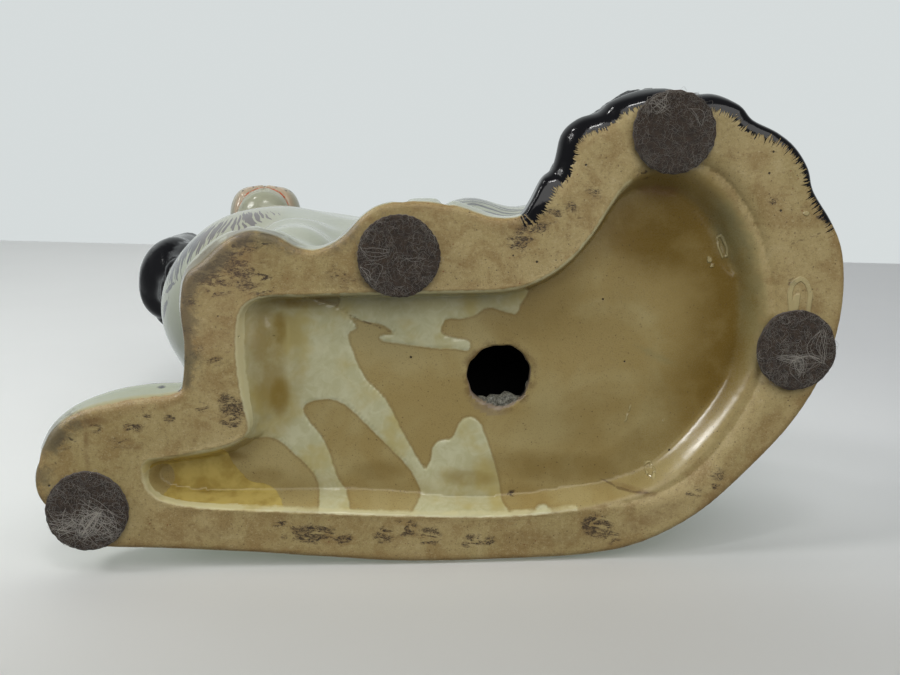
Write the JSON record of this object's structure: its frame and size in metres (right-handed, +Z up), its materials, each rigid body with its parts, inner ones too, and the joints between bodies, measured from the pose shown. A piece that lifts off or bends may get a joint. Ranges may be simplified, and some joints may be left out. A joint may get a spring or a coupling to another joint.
{
  "type": "staffordshire dog",
  "caption": "Seated glazed pottery spaniel with black ears and tail, a flat back, a hollowed foot ring with a round hole, and felt pads underneath.",
  "frame": {"origin": "centre of the bounding box on the plane under the felt pads", "axes": "+Z up, -Y the side the face looks to, +Y the flat back, +X the tail end"},
  "size_m": [0.2612, 0.1479, 0.3249],
  "materials": {
    "glazed_pottery": "glossy pale glaze with painted black ears and tail, bare tan foot ring",
    "felt": "dark brown pressed felt"
  },
  "bodies": {
    "root": {"spaniel": "glazed_pottery", "felt_pad_far_paw": "felt", "felt_pad_hind_foot": "felt", "felt_pad_tail": "felt", "felt_pad_rump": "felt"}
  },
  "joints": []
}
